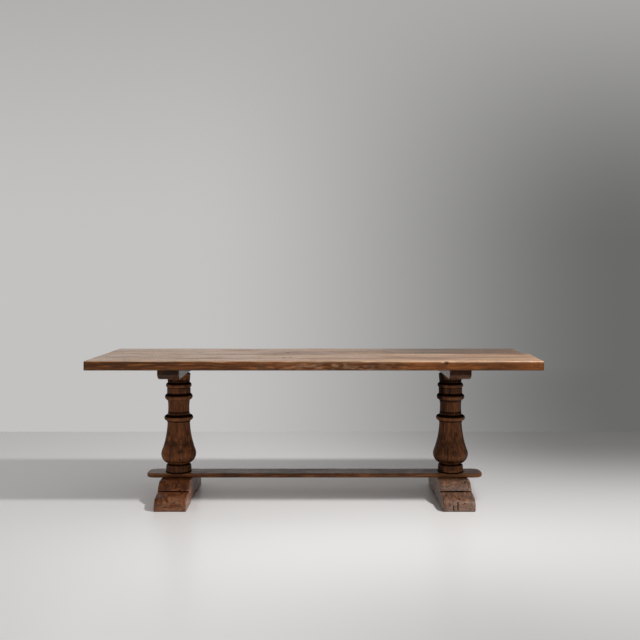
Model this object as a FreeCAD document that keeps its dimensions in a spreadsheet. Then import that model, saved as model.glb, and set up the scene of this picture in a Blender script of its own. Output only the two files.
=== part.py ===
"""Refectory table: a plank top on two turned columns, sled feet and one low flat stretcher.

Millimetres. X runs along the table, the front faces -Y, Z is up, and the origin is on the floor
under the middle of the top.
"""
import FreeCAD, Part
import Sketcher
import math
import os

doc = FreeCAD.newDocument("RefectoryTable")
sheet = doc.addObject("Spreadsheet::Sheet", "Sizes")

# Driving dimensions, one row of the sheet each
DRIVING = {
    # Top: two planks, edge to edge
    "top_length": 2336,
    "top_width": 780,
    "top_thickness": 49,
    "front_plank_width": 435,
    "front_plank_skew": 33,
    "back_plank_short": 28,
    "back_plank_skew": 13,
    "plank_corner_radius": 12,
    "plank_arris_radius": 5,
    # Loose tenons in the joint between the planks, each held by a peg in either plank
    "loose_tenon_length": 90,
    "loose_tenon_width": 80,
    "loose_tenon_thickness": 14,
    "loose_tenon_end_inset": 190,
    "loose_peg_diameter": 10,
    "loose_peg_length": 35,
    "loose_peg_inset": 20,
    # Bearers across the underside of the top, one on each column
    "leg_spacing": 1480,
    "leg_shift": 14,
    "bearer_length": 714,
    "bearer_width": 110,
    "bearer_height": 52,
    "bearer_nose_height": 26,
    "bearer_curve_length": 45,
    "bearer_curve_swell": 4,
    "bearer_arris_radius": 6,
    # Screws with washers, up through slotted holes in the bearers
    "screw_inner_spacing": 270,
    "screw_outer_spacing": 590,
    "screw_shank_diameter": 6,
    "screw_head_diameter": 12,
    "screw_head_height": 4,
    "screw_bite": 30,
    "screw_slot_travel": 6,
    "washer_diameter": 18,
    "washer_thickness": 1.5,
    "counterbore_depth": 14,
    # Turned column, from the drum at its base to the flared head
    "drum_foot_diameter": 134,
    "drum_diameter": 136,
    "drum_top_diameter": 133,
    "drum_height": 38,
    "quirk_diameter": 121,
    "quirk_height": 11,
    "bulb_base_diameter": 129.5,
    "bulb_diameter": 188,
    "bulb_rise": 48,
    "bulb_shoulder_diameter": 181,
    "bulb_shoulder_rise": 19,
    "vase_diameter": 138,
    "vase_height": 153,
    "vase_top_diameter": 121,
    "vase_fillet_diameter": 126,
    "vase_fillet_height": 9,
    "low_ring_foot_diameter": 130,
    "low_ring_diameter": 156,
    "low_ring_height": 30,
    "low_ring_top_diameter": 132,
    "low_fillet_diameter": 126,
    "low_cove_diameter": 118,
    "low_cove_height": 16,
    "neck_diameter": 116,
    "neck_waist_diameter": 114,
    "neck_height": 50,
    "high_cove_diameter": 118,
    "high_cove_height": 15,
    "high_fillet_diameter": 124,
    "mid_ring_end_diameter": 120,
    "mid_ring_diameter": 150,
    "mid_ring_height": 35,
    "collar_diameter": 127,
    "collar_height": 31,
    "high_ring_diameter": 139,
    "high_ring_height": 28,
    "head_waist_diameter": 118,
    "head_swell_diameter": 123,
    "head_diameter": 126,
    "head_height": 52,
    # Joints of the column: a wedged round tenon at the top, a pegged one at the bottom
    "head_tenon_diameter": 60,
    "foot_tenon_diameter": 64,
    "foot_tenon_depth": 80,
    "wedge_thickness": 6,
    "wedge_tip": 2,
    "wedge_depth": 34,
    "wedge_inset": 2,
    "foot_peg_diameter": 14,
    "foot_peg_drop": 45,
    "foot_peg_point": 2,
    # Stretcher: a flat board that lies on both feet and runs past them
    "stretcher_overhang": 167,
    "stretcher_width": 136,
    "stretcher_thickness": 23,
    "stretcher_corner_radius": 45,
    "stretcher_arris_radius": 7,
    # Sled feet
    "foot_length": 612,
    "foot_width": 164,
    "foot_height": 120,
    "foot_nose_height": 43,
    "foot_nose_lean": 1,
    "foot_brow_length": 24,
    "foot_brow_height": 61,
    "foot_brow_radius": 28,
    "foot_toe_length": 116,
    "foot_toe_height": 75,
    "foot_toe_swell_length": 70,
    "foot_toe_swell_height": 69.5,
    "foot_quirk_width": 5,
    "foot_quirk_depth": 5,
    "foot_step_length": 56,
    "foot_step_swell": 2,
    "foot_crown_radius": 6,
    "foot_relief_length": 250,
    "foot_relief_height": 16,
    "foot_arris": 3,
    # Room left between pieces that fit into each other
    "joint_clearance": 0.15,
}
LOOSE_TENON_COUNT = 5
SIDES = (("left", -1), ("right", 1))


class Size:
    """A length as a number, with the expression that ties it to the sheet."""

    def __init__(self, number, text):
        self.number = number
        self.text = text

    def __add__(self, other):
        other = as_size(other)
        return Size(self.number + other.number, "(%s + %s)" % (self.text, other.text))

    def __sub__(self, other):
        other = as_size(other)
        return Size(self.number - other.number, "(%s - %s)" % (self.text, other.text))

    def __mul__(self, factor):
        return Size(self.number * factor, "(%s * %s)" % (self.text, factor))

    def __truediv__(self, divisor):
        return Size(self.number / divisor, "(%s / %s)" % (self.text, divisor))

    def __neg__(self):
        return self * -1


def as_size(value):
    return value if isinstance(value, Size) else Size(float(value), "%s" % value)


def fill_sheet():
    for row, (alias, number) in enumerate(DRIVING.items(), start=1):
        sheet.set("A%d" % row, alias)
        sheet.set("B%d" % row, "%s" % number)
        sheet.setAlias("B%d" % row, alias)
    doc.recompute()


def size(alias):
    return Size(float(sheet.get(alias)), "Sizes.%s" % alias)


def bind(item, path, value):
    item.setExpression(path, as_size(value).text)


def new_body(label, x=0, y=0, z=0):
    """A body with its origin at x, y, z. It may hold several separate solids of one kind."""
    body = doc.addObject("PartDesign::Body", label)
    body.Label = label
    body.AllowCompound = True
    for axis, value in zip("xyz", (x, y, z)):
        bind(body, "Placement.Base." + axis, value)
    return body


def new_sketch(body, role, name):
    """A sketch on one of the body's own planes: XY_Plane, XZ_Plane or YZ_Plane."""
    sketch = body.newObject("Sketcher::SketchObject", name)
    plane = [item for item in body.Origin.OriginFeatures if item.Role == role][0]
    sketch.AttachmentSupport = (plane, [""])
    sketch.MapMode = "FlatFace"
    return sketch


def bound_constraint(sketch, value, kind, *where):
    index = sketch.addConstraint(Sketcher.Constraint(kind, *where, as_size(value).number))
    bind(sketch, "Constraints[%d]" % index, value)


def fix_point(sketch, geometry, end, x, y):
    """Hold one point of a sketch at x, y, and on an axis where that distance is nought."""
    for value, kind, axis in ((x, "DistanceX", -2), (y, "DistanceY", -1)):
        if as_size(value).number == 0:
            sketch.addConstraint(Sketcher.Constraint("PointOnObject", geometry, end, axis))
        else:
            bound_constraint(sketch, value, kind, -1, 1, geometry, end)


def as_vector(point):
    return FreeCAD.Vector(as_size(point[0]).number, as_size(point[1]).number, 0)


def arc_through(start, middle, finish):
    """The arc from start through middle to finish, and whether it runs clockwise."""
    through = Part.Arc(start, middle, finish).toShape().Curve
    centre = through.Center
    ring = Part.Circle(centre, FreeCAD.Vector(0, 0, 1), through.Radius)
    clockwise = (middle - start).cross(finish - middle).z < 0
    ends = (finish, start) if clockwise else (start, finish)
    angles = [math.atan2(point.y - centre.y, point.x - centre.x) for point in ends]
    return Part.ArcOfCircle(ring, angles[0], angles[1]), clockwise


def outline(sketch, corners):
    """A closed outline. A third entry in a corner is a point that the arc leaving it runs through."""
    ends = []
    for index, corner in enumerate(corners):
        start = as_vector(corner)
        finish = as_vector(corners[(index + 1) % len(corners)])
        if len(corner) == 2:
            geometry = sketch.addGeometry(Part.LineSegment(start, finish))
            ends.append((geometry, 1, 2))
        else:
            curve, clockwise = arc_through(start, as_vector(corner[2]), finish)
            geometry = sketch.addGeometry(curve)
            ends.append((geometry, 2, 1) if clockwise else (geometry, 1, 2))
    for index, (geometry, first, last) in enumerate(ends):
        following = ends[(index + 1) % len(ends)]
        joined = (geometry, last, following[0], following[1])
        sketch.addConstraint(Sketcher.Constraint("Coincident", *joined))
    for corner, (geometry, first, last) in zip(corners, ends):
        fix_point(sketch, geometry, first, corner[0], corner[1])
    for corner, (geometry, first, last) in zip(corners, ends):
        if len(corner) == 3:
            passing = sketch.addGeometry(Part.Point(as_vector(corner[2])), True)
            fix_point(sketch, passing, 1, corner[2][0], corner[2][1])
            sketch.addConstraint(Sketcher.Constraint("PointOnObject", passing, 1, geometry))


def rectangle(sketch, low_x, high_x, low_y, high_y):
    outline(sketch, [(low_x, low_y), (high_x, low_y), (high_x, high_y), (low_x, high_y)])


def circle(sketch, x, y, diameter):
    radius = as_size(diameter).number / 2
    ring = Part.Circle(as_vector((x, y)), FreeCAD.Vector(0, 0, 1), radius)
    geometry = sketch.addGeometry(ring)
    fix_point(sketch, geometry, 3, x, y)
    bound_constraint(sketch, diameter, "Diameter", geometry)


def slot(sketch, y, width, travel):
    """A round-ended slot along the sketch's second axis, at y on that axis."""
    half = width / 2
    reach = travel / 2
    outline(sketch, [(half, y - reach),
                     (half, y + reach, (as_size(0), y + reach + half)),
                     (-half, y + reach),
                     (-half, y - reach, (as_size(0), y - reach - half))])


def pad(body, sketch, length, symmetric=False):
    feature = body.newObject("PartDesign::Pad", sketch.Name + "Pad")
    feature.Profile = sketch
    feature.SideType = "Symmetric" if symmetric else "One side"
    bind(feature, "Length", length)
    doc.recompute()
    return feature


def pocket(body, sketch, depth, symmetric=False):
    """Cut the sketch upwards or both ways into the body, and make sure that the cut met the solid."""
    volume = body.Shape.Volume
    feature = body.newObject("PartDesign::Pocket", sketch.Name + "Pocket")
    feature.Profile = sketch
    feature.SideType = "Symmetric" if symmetric else "One side"
    feature.Reversed = not symmetric
    bind(feature, "Length", depth)
    doc.recompute()
    if body.Shape.Volume >= volume:
        raise RuntimeError("%s cuts nothing from %s" % (sketch.Name, body.Label))
    return feature


def revolve(body, sketch):
    feature = body.newObject("PartDesign::Revolution", sketch.Name + "Turning")
    feature.Profile = sketch
    feature.ReferenceAxis = (sketch, ["V_Axis"])
    feature.Angle = 360
    doc.recompute()
    return feature


def repeat(body, feature, sketch, spacing, count):
    """A row of copies of a feature along its sketch's first axis, the feature being the first."""
    pattern = body.newObject("PartDesign::LinearPattern", feature.Name + "Row")
    pattern.Originals = [feature]
    pattern.Direction = (sketch, ["H_Axis"])
    pattern.Occurrences = count
    bind(pattern, "Length", spacing * (count - 1))
    body.Tip = pattern
    doc.recompute()
    return pattern


def soften(body, kind, name, wanted, amount):
    """Fillet or chamfer the edges of the body's last shape that pass the test."""
    base = body.Tip
    edges = ["Edge%d" % number for number, edge in enumerate(base.Shape.Edges, 1) if wanted(edge)]
    if not edges:
        raise RuntimeError("no edge found for %s" % name)
    feature = body.newObject("PartDesign::" + kind, body.Name + name)
    feature.Base = (base, edges)
    bind(feature, "Radius" if kind == "Fillet" else "Size", amount)
    doc.recompute()
    return feature


def along(edge, axis):
    """True for a straight edge that runs along the axis 0, 1 or 2."""
    if edge.Curve.TypeId != "Part::GeomLine":
        return False
    return abs(abs(edge.Curve.Direction[axis]) - 1) < 1e-6


def reaches(edge, axis, value):
    """True for an edge that lies all at one value of the axis 0, 1 or 2."""
    box = edge.BoundBox
    low = (box.XMin, box.YMin, box.ZMin)[axis]
    high = (box.XMax, box.YMax, box.ZMax)[axis]
    return abs(low - value.number) < 1e-4 and abs(high - value.number) < 1e-4


fill_sheet()
zero = as_size(0)
clearance = size("joint_clearance")

# Shared places: heights from the floor, the legs along X, the plank joint and the screws along Y
stretcher_z = size("foot_height")
column_z = stretcher_z + size("stretcher_thickness")
leg_x = size("leg_spacing") / 2
legs_middle = -size("leg_shift")
joint_y = size("front_plank_width") - size("top_width") / 2
tenon_row_start = size("loose_tenon_end_inset") - size("top_length") / 2
tenon_spacing = -tenon_row_start * (2 / (LOOSE_TENON_COUNT - 1))
screw_places = [size(name) * (sign / 2) for name in ("screw_outer_spacing", "screw_inner_spacing")
                for sign in (-1, 1)]


def column_profile():
    """Half outline of the turned column above its base, and the height of its shoulder."""
    points = []
    height = zero

    def half(name):
        return size(name + "_diameter") / 2

    def member(start, middle, name):
        """One turned member: its lower diameter, the one half way up, and its height."""
        nonlocal height
        rise = size(name + "_height")
        points.append((half(start), height, (half(middle), height + rise / 2)))
        height = height + rise

    member("drum_foot", "drum", "drum")
    points.append((half("drum_top"), height))
    points.append((half("quirk"), height))
    height = height + size("quirk_height")
    points.append((half("quirk"), height))
    widest = height + size("bulb_rise")
    points.append((half("bulb_base"), height, (half("bulb"), widest)))
    height = widest + size("bulb_shoulder_rise")
    member("bulb_shoulder", "vase", "vase")
    points.append((half("vase_top"), height))
    points.append((half("vase_fillet"), height))
    height = height + size("vase_fillet_height")
    points.append((half("vase_fillet"), height))
    member("low_ring_foot", "low_ring", "low_ring")
    points.append((half("low_ring_top"), height))
    member("low_fillet", "low_cove", "low_cove")
    member("neck", "neck_waist", "neck")
    member("neck", "high_cove", "high_cove")
    points.append((half("high_fillet"), height))
    member("mid_ring_end", "mid_ring", "mid_ring")
    points.append((half("mid_ring_end"), height))
    points.append((half("collar"), height))
    height = height + size("collar_height")
    points.append((half("collar"), height))
    member("head_waist", "high_ring", "high_ring")
    member("head_waist", "head_swell", "head")
    points.append((half("head"), height))
    return points, height


column_outline, column_height = column_profile()
bearer_z = column_z + column_height
top_z = bearer_z + size("bearer_height")
foot_tenon_reach = size("stretcher_thickness") + size("foot_tenon_depth")
foot_peg_z = stretcher_z - size("foot_peg_drop")
wedge_outline = [(-size("wedge_tip") / 2, zero),
                 (size("wedge_tip") / 2, zero),
                 (size("wedge_thickness") / 2, size("wedge_depth")),
                 (-size("wedge_thickness") / 2, size("wedge_depth"))]


def make_plank(label, low_y, high_y, right_end, skew):
    """One plank of the top, from the joint at y = 0. Its right end is out of square by the skew."""
    body = new_body(label, y=joint_y, z=top_z)
    left_end = -size("top_length") / 2
    thickness = size("top_thickness")
    face = new_sketch(body, "XY_Plane", label + "Face")
    outline(face, [(left_end, low_y), (right_end - skew, low_y), (right_end, high_y), (left_end, high_y)])
    pad(body, face, thickness)
    outer = low_y if high_y.number == 0 else high_y

    def outer_corner(edge):
        return along(edge, 2) and reaches(edge, 1, outer)

    def outer_arris(edge):
        flat = reaches(edge, 2, zero) or reaches(edge, 2, thickness)
        return flat and not reaches(edge, 1, zero)

    soften(body, "Fillet", "Corners", outer_corner, size("plank_corner_radius"))
    soften(body, "Fillet", "Arrises", outer_arris, size("plank_arris_radius"))

    reach = size("loose_tenon_length") / 2 + clearance
    rise = size("loose_tenon_thickness") / 2 + clearance
    mortise = new_sketch(body, "XZ_Plane", label + "Mortise")
    middle = thickness / 2
    rectangle(mortise, tenon_row_start - reach, tenon_row_start + reach, middle - rise, middle + rise)
    cut = pocket(body, mortise, size("loose_tenon_width") + clearance * 2, symmetric=True)
    repeat(body, cut, mortise, tenon_spacing, LOOSE_TENON_COUNT)

    inset = size("loose_peg_inset") if low_y.number == 0 else -size("loose_peg_inset")
    peg_hole = new_sketch(body, "XY_Plane", label + "PegHole")
    circle(peg_hole, tenon_row_start, inset, size("loose_peg_diameter") + clearance * 2)
    cut = pocket(body, peg_hole, size("loose_peg_length") + clearance)
    repeat(body, cut, peg_hole, tenon_spacing, LOOSE_TENON_COUNT)

    pilot = new_sketch(body, "XY_Plane", label + "Pilot")
    for place in screw_places:
        y = place - joint_y
        if (y.number > 0) == (high_y.number > 0):
            for _, sign in SIDES:
                circle(pilot, legs_middle + leg_x * sign, y, size("screw_shank_diameter") + clearance * 2)
    pocket(body, pilot, size("screw_bite") + clearance)
    return body


def make_loose_tenons():
    """The row of tenons inside the plank joint, bored for their pegs."""
    body = new_body("top_loose_tenons", y=joint_y, z=top_z)
    half_length = size("loose_tenon_length") / 2
    half_width = size("loose_tenon_width") / 2
    rise = size("loose_tenon_thickness") / 2
    middle = size("top_thickness") / 2
    section = new_sketch(body, "XZ_Plane", "LooseTenon")
    low_x = tenon_row_start - half_length
    high_x = tenon_row_start + half_length
    rectangle(section, low_x, high_x, middle - rise, middle + rise)
    block = pad(body, section, half_width * 2, symmetric=True)
    repeat(body, block, section, tenon_spacing, LOOSE_TENON_COUNT)
    holes = new_sketch(body, "XY_Plane", "LooseTenonHoles")
    for index in range(LOOSE_TENON_COUNT):
        x = tenon_row_start + tenon_spacing * index
        for sign in (-1, 1):
            circle(holes, x, size("loose_peg_inset") * sign, size("loose_peg_diameter") + clearance * 2)
    pocket(body, holes, size("top_thickness"))
    return body


def make_loose_pegs():
    """The pegs that lock the loose tenons, flush with the underside of the top."""
    body = new_body("top_tenon_pegs", y=joint_y, z=top_z)
    ends = new_sketch(body, "XY_Plane", "LoosePegs")
    for index in range(LOOSE_TENON_COUNT):
        x = tenon_row_start + tenon_spacing * index
        for sign in (-1, 1):
            circle(ends, x, size("loose_peg_inset") * sign, size("loose_peg_diameter"))
    pad(body, ends, size("loose_peg_length"))
    return body


def make_bearer(side, sign):
    """A cross bearer with noses that curve under, bored for the column and slotted for screws."""
    body = new_body("bearer_" + side, x=legs_middle + leg_x * sign, z=bearer_z)
    half_length = size("bearer_length") / 2
    height = size("bearer_height")
    nose_z = height - size("bearer_nose_height")
    flat = half_length - size("bearer_curve_length")
    swell = size("bearer_curve_swell")
    swell_y = half_length - size("bearer_curve_length") / 2 + swell
    swell_z = nose_z / 2 - swell
    profile = new_sketch(body, "YZ_Plane", "Bearer%sProfile" % side)
    outline(profile, [(-flat, zero),
                      (flat, zero, (swell_y, swell_z)),
                      (half_length, nose_z),
                      (half_length, height),
                      (-half_length, height),
                      (-half_length, nose_z, (-swell_y, swell_z))])
    pad(body, profile, size("bearer_width"), symmetric=True)

    def lower_arris(edge):
        return along(edge, 1) and reaches(edge, 2, zero)

    soften(body, "Fillet", "Arris", lower_arris, size("bearer_arris_radius"))
    mortise = new_sketch(body, "XY_Plane", "Bearer%sMortise" % side)
    circle(mortise, zero, zero, size("head_tenon_diameter") + clearance * 2)
    pocket(body, mortise, height)
    slots = new_sketch(body, "XY_Plane", "Bearer%sSlots" % side)
    wells = new_sketch(body, "XY_Plane", "Bearer%sWells" % side)
    for y in screw_places:
        slot(slots, y, size("screw_shank_diameter") + clearance * 2, size("screw_slot_travel"))
        slot(wells, y, size("washer_diameter") + clearance * 2, size("screw_slot_travel"))
    pocket(body, slots, height)
    pocket(body, wells, size("counterbore_depth"))
    return body


def make_screws(side, sign):
    """Round-headed wood screws that draw the top down on the bearer."""
    body = new_body("bearer_screws_" + side, x=legs_middle + leg_x * sign, z=bearer_z)
    seat_z = size("counterbore_depth") - size("washer_thickness")
    heads = new_sketch(body, "XY_Plane", "Screw%sHeads" % side)
    shanks = new_sketch(body, "XY_Plane", "Screw%sShanks" % side)
    for y in screw_places:
        circle(heads, zero, y, size("screw_head_diameter"))
        circle(shanks, zero, y, size("screw_shank_diameter"))
    bind(heads, "AttachmentOffset.Base.z", seat_z - size("screw_head_height"))
    bind(shanks, "AttachmentOffset.Base.z", seat_z)
    pad(body, heads, size("screw_head_height"))

    def head_rim(edge):
        return reaches(edge, 2, seat_z - size("screw_head_height"))

    soften(body, "Fillet", "Domes", head_rim, size("screw_head_height") * 0.6)
    pad(body, shanks, size("bearer_height") + size("screw_bite") - seat_z)
    return body


def make_washers(side, sign):
    body = new_body("bearer_washers_" + side, x=legs_middle + leg_x * sign, z=bearer_z)
    rings = new_sketch(body, "XY_Plane", "Washer%sRings" % side)
    for y in screw_places:
        circle(rings, zero, y, size("washer_diameter"))
        circle(rings, zero, y, size("screw_shank_diameter") + clearance * 2)
    bind(rings, "AttachmentOffset.Base.z", size("counterbore_depth") - size("washer_thickness"))
    pad(body, rings, size("washer_thickness"))
    return body


def make_column(side, sign):
    """The turned column with its two round tenons, kerfed at the head and bored at the foot."""
    body = new_body("column_" + side, x=legs_middle + leg_x * sign, z=column_z)
    head_radius = size("head_tenon_diameter") / 2
    foot_radius = size("foot_tenon_diameter") / 2
    tenon_top = column_height + size("bearer_height")
    profile = new_sketch(body, "XZ_Plane", "Column%sProfile" % side)
    outline(profile, [(zero, -foot_tenon_reach), (foot_radius, -foot_tenon_reach), (foot_radius, zero)]
            + column_outline
            + [(head_radius, column_height), (head_radius, tenon_top), (zero, tenon_top)])
    revolve(body, profile)
    kerf = new_sketch(body, "YZ_Plane", "Column%sKerf" % side)
    kerf_z = tenon_top - size("wedge_depth")
    outline(kerf, [(y, z + kerf_z) for y, z in wedge_outline])
    pocket(body, kerf, size("head_tenon_diameter"), symmetric=True)
    bore = new_sketch(body, "YZ_Plane", "Column%sBore" % side)
    circle(bore, zero, foot_peg_z - column_z, size("foot_peg_diameter") + clearance * 2)
    pocket(body, bore, size("foot_tenon_diameter"), symmetric=True)
    return body


def make_wedge(side, sign):
    """The wedge that spreads the head tenon along the grain of the bearer."""
    body = new_body("head_wedge_" + side, x=legs_middle + leg_x * sign, z=top_z - size("wedge_depth"))
    section = new_sketch(body, "YZ_Plane", "Wedge%sSection" % side)
    outline(section, wedge_outline)
    pad(body, section, size("head_tenon_diameter") - size("wedge_inset"), symmetric=True)
    return body


def make_stretcher():
    """The low board, bored for both foot tenons, with round-cornered ends past the legs."""
    body = new_body("stretcher", x=legs_middle, z=stretcher_z)
    half_length = leg_x + size("stretcher_overhang")
    half_width = size("stretcher_width") / 2
    face = new_sketch(body, "XY_Plane", "StretcherFace")
    rectangle(face, -half_length, half_length, -half_width, half_width)
    pad(body, face, size("stretcher_thickness"))

    def corner(edge):
        return along(edge, 2)

    def arris(edge):
        return reaches(edge, 2, zero) or reaches(edge, 2, size("stretcher_thickness"))

    soften(body, "Fillet", "Corners", corner, size("stretcher_corner_radius"))
    soften(body, "Fillet", "Arrises", arris, size("stretcher_arris_radius"))
    mortises = new_sketch(body, "XY_Plane", "StretcherMortises")
    for _, sign in SIDES:
        circle(mortises, leg_x * sign, zero, size("foot_tenon_diameter") + clearance * 2)
    pocket(body, mortises, size("stretcher_thickness"))
    return body


def foot_outline():
    """Side view of a sled foot: nose, rounded brow, long toe, stepped shoulder, hollow underside."""
    tip = size("foot_length") / 2
    toe = tip - size("foot_toe_length")
    toe_z = size("foot_toe_height")
    crown = toe - size("foot_step_length")
    crown_z = size("foot_height")
    step_middle = (toe + crown) / 2 + size("foot_step_swell")
    step_middle_z = (toe_z + crown_z) / 2 + size("foot_step_swell")
    swell = tip - size("foot_toe_swell_length")
    swell_z = size("foot_toe_swell_height")
    brow = tip - size("foot_brow_length")
    brow_z = size("foot_brow_height")
    nose = tip - size("foot_nose_lean")
    nose_z = size("foot_nose_height")
    relief = size("foot_relief_length") / 2
    relief_z = size("foot_relief_height")
    shoulder = relief - relief_z
    return [(relief, zero),
            (tip, zero),
            (nose, nose_z),
            (brow, brow_z, (swell, swell_z)),
            (toe, toe_z, (step_middle, step_middle_z)),
            (crown, crown_z),
            (-crown, crown_z, (-step_middle, step_middle_z)),
            (-toe, toe_z, (-swell, swell_z)),
            (-brow, brow_z),
            (-nose, nose_z),
            (-tip, zero),
            (-relief, zero),
            (-shoulder, relief_z),
            (shoulder, relief_z)]


def make_foot(side, sign):
    """A sled foot, bored from above for the column and across for its peg."""
    body = new_body("foot_" + side, x=legs_middle + leg_x * sign)
    profile = new_sketch(body, "YZ_Plane", "Foot%sProfile" % side)
    outline(profile, foot_outline())
    pad(body, profile, size("foot_width"), symmetric=True)
    half_width = size("foot_width") / 2
    tip = size("foot_length") / 2
    nose = tip - size("foot_nose_lean")
    brow = tip - size("foot_brow_length")
    toe = tip - size("foot_toe_length")
    crown = toe - size("foot_step_length")

    def across(edge, places):
        """True for an edge across the foot at one of the places, at either end."""
        return along(edge, 0) and any(reaches(edge, 1, place * sign)
                                      for place in places for sign in (-1, 1))

    def brow_edge(edge):
        high = edge.BoundBox.ZMin > size("foot_relief_height").number
        return high and across(edge, (nose, brow))

    def toe_corner(edge):
        return across(edge, (toe,))

    def crown_edge(edge):
        return across(edge, (crown,))

    def side_arris(edge):
        on_side = reaches(edge, 0, half_width) or reaches(edge, 0, -half_width)
        return on_side and edge.BoundBox.ZMax > size("foot_relief_height").number + 1e-3

    soften(body, "Fillet", "Brows", brow_edge, size("foot_brow_radius"))
    soften(body, "Fillet", "ToeCorners", toe_corner, size("foot_quirk_width"))
    soften(body, "Fillet", "Crowns", crown_edge, size("foot_crown_radius"))
    soften(body, "Chamfer", "Arrises", side_arris, size("foot_arris"))
    quirks = new_sketch(body, "YZ_Plane", "Foot%sQuirks" % side)
    quirk = toe + size("foot_quirk_width")
    low_z = size("foot_toe_height") - size("foot_quirk_depth")
    high_z = size("foot_toe_height") + size("foot_quirk_depth")
    rectangle(quirks, toe, quirk, low_z, high_z)
    rectangle(quirks, -quirk, -toe, low_z, high_z)
    pocket(body, quirks, size("foot_width"), symmetric=True)
    mortise = new_sketch(body, "XY_Plane", "Foot%sMortise" % side)
    circle(mortise, zero, zero, size("foot_tenon_diameter") + clearance * 2)
    floor_z = size("foot_height") - size("foot_tenon_depth") - clearance
    bind(mortise, "AttachmentOffset.Base.z", floor_z)
    pocket(body, mortise, size("foot_height") - floor_z)
    bore = new_sketch(body, "YZ_Plane", "Foot%sBore" % side)
    circle(bore, zero, foot_peg_z, size("foot_peg_diameter") + clearance * 2)
    pocket(body, bore, size("foot_width"), symmetric=True)
    return body


def make_foot_peg(side, sign):
    """The peg driven across the foot through the column's tenon."""
    body = new_body("foot_peg_" + side, x=legs_middle + leg_x * sign, z=foot_peg_z)
    end = new_sketch(body, "YZ_Plane", "FootPeg%sEnd" % side)
    circle(end, zero, zero, size("foot_peg_diameter"))
    pad(body, end, size("foot_width"), symmetric=True)

    def rim(edge):
        return edge.Curve.TypeId == "Part::GeomCircle"

    soften(body, "Chamfer", "Points", rim, size("foot_peg_point"))
    return body


def make_table():
    right_end = size("top_length") / 2
    back_skew = size("back_plank_skew")
    bodies = [make_plank("top_plank_front", -size("front_plank_width"), zero, right_end,
                         size("front_plank_skew")),
              make_plank("top_plank_back", zero, size("top_width") - size("front_plank_width"),
                         right_end - size("back_plank_short") + back_skew, back_skew),
              make_loose_tenons(),
              make_loose_pegs(),
              make_stretcher()]
    for side, sign in SIDES:
        bodies += [make(side, sign) for make in (make_bearer, make_screws, make_washers, make_column,
                                                 make_wedge, make_foot, make_foot_peg)]
    return bodies


def check(bodies):
    """Stop before anything is written if the document or one of the pieces is faulty."""
    doc.recompute()
    for item in doc.Objects:
        if "Invalid" in item.State or "Error" in item.State:
            raise RuntimeError("%s failed: %s" % (item.Label, item.State))
    for body in bodies:
        if body.Shape.isNull() or not body.Shape.isValid() or not body.Shape.Solids:
            raise RuntimeError("%s has no sound solid" % body.Label)


def write(bodies):
    os.makedirs("parts", exist_ok=True)
    for body in bodies:
        body.Shape.exportStep("parts/%s.step" % body.Label)
        box = body.Shape.BoundBox
        print("%-22s %2d solids  x %8.1f %8.1f  y %7.1f %7.1f  z %6.1f %6.1f" % (
            body.Label, len(body.Shape.Solids), box.XMin, box.XMax, box.YMin, box.YMax,
            box.ZMin, box.ZMax))


pieces = make_table()
check(pieces)
write(pieces)
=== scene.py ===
"""Looks of the refectory table: worn waxed oak, in a plain pale studio. Metres, in the frame of the CAD."""
import bpy
import itertools
import math
import numpy as np
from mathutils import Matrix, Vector
from types import SimpleNamespace


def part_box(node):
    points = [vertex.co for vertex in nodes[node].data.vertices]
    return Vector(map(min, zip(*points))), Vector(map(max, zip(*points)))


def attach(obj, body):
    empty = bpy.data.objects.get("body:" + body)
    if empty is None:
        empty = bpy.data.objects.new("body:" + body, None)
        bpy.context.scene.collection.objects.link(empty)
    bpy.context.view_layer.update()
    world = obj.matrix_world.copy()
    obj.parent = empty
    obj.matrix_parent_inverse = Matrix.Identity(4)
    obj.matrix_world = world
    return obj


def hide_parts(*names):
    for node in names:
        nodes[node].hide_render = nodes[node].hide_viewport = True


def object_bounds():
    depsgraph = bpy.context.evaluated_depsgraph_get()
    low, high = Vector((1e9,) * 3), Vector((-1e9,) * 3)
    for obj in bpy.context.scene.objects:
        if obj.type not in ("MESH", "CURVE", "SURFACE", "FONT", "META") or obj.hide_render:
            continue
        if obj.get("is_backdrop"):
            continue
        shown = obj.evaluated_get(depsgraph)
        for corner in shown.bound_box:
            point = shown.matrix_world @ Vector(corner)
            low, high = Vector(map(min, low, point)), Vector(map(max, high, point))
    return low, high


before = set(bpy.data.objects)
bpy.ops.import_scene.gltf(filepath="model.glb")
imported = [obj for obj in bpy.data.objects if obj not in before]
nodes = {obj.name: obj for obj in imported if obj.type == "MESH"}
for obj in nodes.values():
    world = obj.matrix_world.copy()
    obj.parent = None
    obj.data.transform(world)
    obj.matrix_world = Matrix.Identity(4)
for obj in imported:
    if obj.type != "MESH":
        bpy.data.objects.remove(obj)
cad_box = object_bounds()
MM = 0.001
# The legs, each with its direction along X from the middle of the table
SIDES = {"left": -1, "right": 1}


# Numbers and meshes

def hashed(cells, seed):
    """Repeatable numbers from -1 to 1, one for each integer cell."""
    mixed = np.full(cells.shape[:-1], seed % 2 ** 32, dtype=np.uint32)
    for axis, factor in enumerate((374761393, 668265263, 2246822519)):
        mixed = mixed ^ (cells[..., axis] * factor).astype(np.uint32)
        mixed = mixed * np.uint32(3266489917)
        mixed = mixed ^ (mixed >> np.uint32(15))
    return mixed.astype(float) / 2 ** 31 - 1


def noise(points, cell, seed):
    """Smooth noise from -1 to 1. The cell is its size in metres, one number or one for each axis."""
    scaled = points / np.asarray(cell, dtype=float)
    low = np.floor(scaled)
    part = scaled - low
    part = part * part * (3 - 2 * part)
    total = np.zeros(len(points))
    for corner in itertools.product((0, 1), repeat=3):
        weight = np.prod(np.where(corner, part, 1 - part), axis=1)
        total += weight * hashed((low + corner).astype(np.int64), seed)
    return total


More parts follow.
